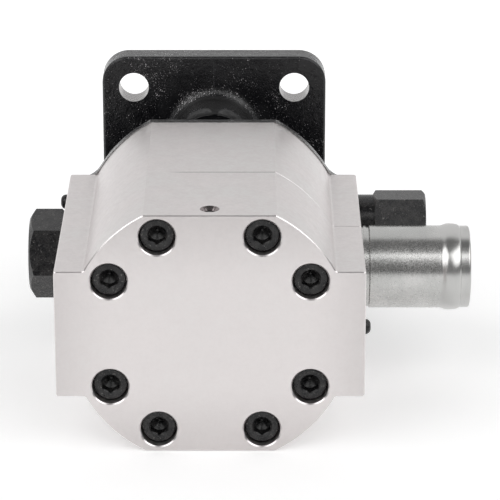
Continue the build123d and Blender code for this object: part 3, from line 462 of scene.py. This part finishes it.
def port_thread(material):
    """The female thread in the outlet adapter: one helical ridge inside the port."""
    per_turn = 48
    start, end = PORT_X[0] + 0.6 * MM, PORT_X[1] - 0.8 * MM
    steps = int((end - start) / THREAD_PITCH * per_turn)
    root = PORT_RADIUS + 0.02 * MM
    bm = bmesh.new()
    rows = []
    for k in range(steps + 1):
        angle = 2 * math.pi * k / per_turn
        x = start + THREAD_PITCH * k / per_turn
        fade = min(1.0, k / per_turn * 2, (steps - k) / per_turn * 2)
        crest = PORT_RADIUS - THREAD_HEIGHT * max(0.04, fade)
        row = []
        for offset, radius in ((-0.46, root), (-0.08, crest), (0.08, crest), (0.46, root)):
            row.append(bm.verts.new((x + offset * THREAD_PITCH, PORT_Y + radius * math.cos(angle),
                                     CENTRE_Z + radius * math.sin(angle))))
        rows.append(row)
    for first, second in zip(rows, rows[1:]):
        for k in range(3):
            bm.faces.new((first[k], first[k + 1], second[k + 1], second[k]))
        bm.faces.new((first[3], first[0], second[0], second[3]))
    bm.faces.new(rows[0])
    bm.faces.new(list(reversed(rows[-1])))
    bmesh.ops.recalc_face_normals(bm, faces=bm.faces)
    return mesh_object("outlet_port_thread", bm, material)


def neck_surface(x):
    """Height of the neck's rounded top at x."""
    return NECK_ARC_Z + math.sqrt(NECK_HALF_WIDTH ** 2 - x * x)


def parting_line(material):
    """The casting's parting line: down the plate's back, over the neck."""
    path, side, up = [], [], []
    plate_top = PLATE_HALF - 1.2 * MM
    neck_top = neck_surface(0.0)
    steps = 40
    for k in range(steps + 1):
        z = plate_top + (neck_top + NECK_FILLET - plate_top) * k / steps
        path.append((0.0, PLATE_BACK_Y, z))
        side.append(Vector((1, 0, 0)))
        up.append(Vector((0, -1, 0)))
    for k in range(1, 9):
        turn = math.pi / 2 * k / 8
        centre_y = PLATE_BACK_Y - NECK_FILLET
        centre_z = neck_top + NECK_FILLET
        outward = Vector((0, -math.cos(turn), math.sin(turn)))
        path.append((0.0, centre_y + NECK_FILLET * math.cos(turn), centre_z - NECK_FILLET * math.sin(turn)))
        side.append(Vector((1, 0, 0)))
        up.append(outward)
    for k in range(1, steps + 1):
        y = PLATE_BACK_Y - NECK_FILLET + (SHOULDER_FRONT_Y - PLATE_BACK_Y + NECK_FILLET) * k / steps
        path.append((0.0, y, neck_top))
        side.append(Vector((1, 0, 0)))
        up.append(Vector((0, 0, 1)))
    return swept_ridge("casting_parting_line", path, side, up, PARTING_LINE_WIDTH, PARTING_LINE_HEIGHT,
                       material)


def neck_pad(name, sign, span_x, material):
    """A low cast pad on the neck, by the shoulder, over span_x on the side that sign gives."""
    columns, rows = 26, 22
    x0, x1 = span_x
    y0, y1 = SHOULDER_FRONT_Y - 0.3 * MM, SHOULDER_FRONT_Y + PAD_LENGTH
    bm = bmesh.new()
    grid = []
    for i in range(columns + 1):
        u = i / columns
        line = []
        for j in range(rows + 1):
            v = j / rows
            x = x0 + (x1 - x0) * u
            reach = math.sqrt(max(0.0, 1.0 - (2 * u - 1) ** 2))
            y = y0 + (y1 - y0) * v * (0.25 + 0.75 * reach)
            edge = (1.0 - (2 * u - 1) ** 4) * math.sin(math.pi * v ** 2.4)
            rough = 1.0 + 0.3 * noise.noise(Vector((x, y, sign)) * 420.0)
            height = PAD_HEIGHT * edge * rough - 0.08 * MM
            base = neck_surface(x)
            outward = Vector((x, 0.0, base - NECK_ARC_Z)).normalized()
            spot = Vector((x, y, base)) + outward * height
            line.append(bm.verts.new((sign * spot.x, spot.y, spot.z)))
        grid.append(line)
    for i in range(columns):
        for j in range(rows):
            bm.faces.new((grid[i][j], grid[i + 1][j], grid[i + 1][j + 1], grid[i][j + 1]))
    bmesh.ops.recalc_face_normals(bm, faces=bm.faces)
    bmesh.ops.solidify(bm, geom=list(bm.faces), thickness=0.25 * MM)
    bmesh.ops.recalc_face_normals(bm, faces=bm.faces)
    return mesh_object(name, bm, material)


def compress(spring):
    """Gives the spring its own copy of its mesh."""
    bpy.context.view_layer.update()
    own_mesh(spring)


# ---------------------------------------------------------------------- studio

def make_floor(low):
    """Plain pale floor, just under low."""
    bm = bmesh.new()
    bmesh.ops.create_grid(bm, x_segments=1, y_segments=1, size=FLOOR_HALF_SIZE)
    mesh = bpy.data.meshes.new("floor")
    bm.to_mesh(mesh)
    bm.free()
    floor = bpy.data.objects.new("floor", mesh)
    floor.location = (0.0, 0.0, low - FLOOR_GAP)
    bpy.context.scene.collection.objects.link(floor)
    material = bpy.data.materials.new("floor_white")
    material.use_nodes = True
    tree = material.node_tree
    shader = tree.nodes["Principled BSDF"]
    coordinates = tree.nodes.new("ShaderNodeTexCoord")
    shader.inputs["Base Color"].default_value = FLOOR_COLOUR
    shader.inputs["Emission Color"].default_value = FLOOR_COLOUR
    split = tree.nodes.new("ShaderNodeSeparateXYZ")
    glow = tree.nodes.new("ShaderNodeMapRange")
    set_map_range(glow, FLOOR_GLOW_Y, FLOOR_GLOW)
    tree.links.new(coordinates.outputs["Object"], split.inputs[0])
    tree.links.new(split.outputs["Y"], glow.inputs["Value"])
    tree.links.new(glow.outputs["Result"], shader.inputs["Emission Strength"])
    shader.inputs["Roughness"].default_value = 0.9
    shader.inputs["Specular IOR Level"].default_value = 0.0
    mesh.materials.append(material)


def softbox(name, azimuth):
    """Area light aimed at the part; azimuth is from -Y towards +X."""
    light = bpy.data.lights.new(name, "AREA")
    light.shape = "RECTANGLE"
    light.size, light.size_y = SOFTBOX_SIZE
    light.energy = SOFTBOX_RADIANCE * math.pi * light.size * light.size_y
    a, e = math.radians(azimuth), math.radians(SOFTBOX_ELEVATION)
    target = Vector((0.0, SOFTBOX_TARGET_Y, CENTRE_Z))
    towards = Vector((math.sin(a) * math.cos(e), -math.cos(a) * math.cos(e), math.sin(e)))
    offset = towards * SOFTBOX_DISTANCE
    lamp = bpy.data.objects.new(name, light)
    lamp.location = target + offset
    lamp.rotation_euler = offset.to_track_quat("Z", "Y").to_euler()
    lamp.visible_camera = False
    bpy.context.scene.collection.objects.link(lamp)


def make_world():
    """Room light: bright behind the part, dim in front and overhead."""
    world = bpy.data.worlds.new("studio")
    world.use_nodes = True
    tree = world.node_tree
    background = tree.nodes["Background"]
    coordinates = tree.nodes.new("ShaderNodeTexCoord")
    split = tree.nodes.new("ShaderNodeSeparateXYZ")
    ramp = tree.nodes.new("ShaderNodeMapRange")
    ramp.interpolation_type = "SMOOTHSTEP"
    set_map_range(ramp, ROOM_DIRECTION_Y, ROOM_STRENGTH)
    tree.links.new(coordinates.outputs["Generated"], split.inputs[0])
    tree.links.new(split.outputs["Y"], ramp.inputs["Value"])
    tree.links.new(ramp.outputs["Result"], background.inputs["Strength"])
    background.inputs["Color"].default_value = (1.0, 1.0, 1.0, 1.0)
    bpy.context.scene.world = world


def make_camera():
    """Camera behind the part and above it, level from side to side."""
    data = bpy.data.cameras.new("camera")
    data.lens = CAMERA_LENS
    data.sensor_width = CAMERA_SENSOR
    camera = bpy.data.objects.new("camera", data)
    camera.location = CAMERA_PLACE
    camera.rotation_euler = (math.pi / 2 - CAMERA_PITCH, 0.0, 0.0)
    bpy.context.scene.collection.objects.link(camera)
    bpy.context.scene.camera = camera


# ------------------------------------------------------------------------ main

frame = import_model()
cad_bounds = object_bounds()

for thing in list(bpy.data.objects):
    if thing.type in ("LIGHT", "CAMERA") or thing.name == "Cube":
        bpy.data.objects.remove(thing)

view = bpy.context.scene.view_settings
view.view_transform = "Standard"
view.look = "None"

finishes = {
    "satin_aluminium": satin_aluminium(),
    "black_paint": black_paint(),
    "black_oxide_steel": black_oxide(),
    "zinc_plated_steel": zinc_plate(),
    "ground_steel": ground_steel(),
    "bearing_bronze": bearing_bronze(),
    "seal_rubber": seal_rubber(),
    "spring_steel": spring_steel(),
}
for subpart in frame["record"]["subparts"]:
    node = frame["nodes"][subpart["node"]]
    finish = finishes[subpart["material_slot"]]
    if not node.data.materials:
        node.data.materials.append(finish)
    for slot in node.material_slots:
        slot.material = finish

compress(frame["nodes"]["check_valve_spring"])
compress(frame["nodes"]["unloading_valve_spring"])

port_thread(finishes["black_oxide_steel"])
parting_line(finishes["black_paint"])
neck_pad("neck_pad_left", -1, LEFT_PAD_X, finishes["black_paint"])
neck_pad("neck_pad_right", 1, RIGHT_PAD_X, finishes["black_paint"])

make_floor(cad_bounds[0][2])
make_world()
softbox("softbox_left", -SOFTBOX_AZIMUTH)
softbox("softbox_right", SOFTBOX_AZIMUTH)
make_camera()
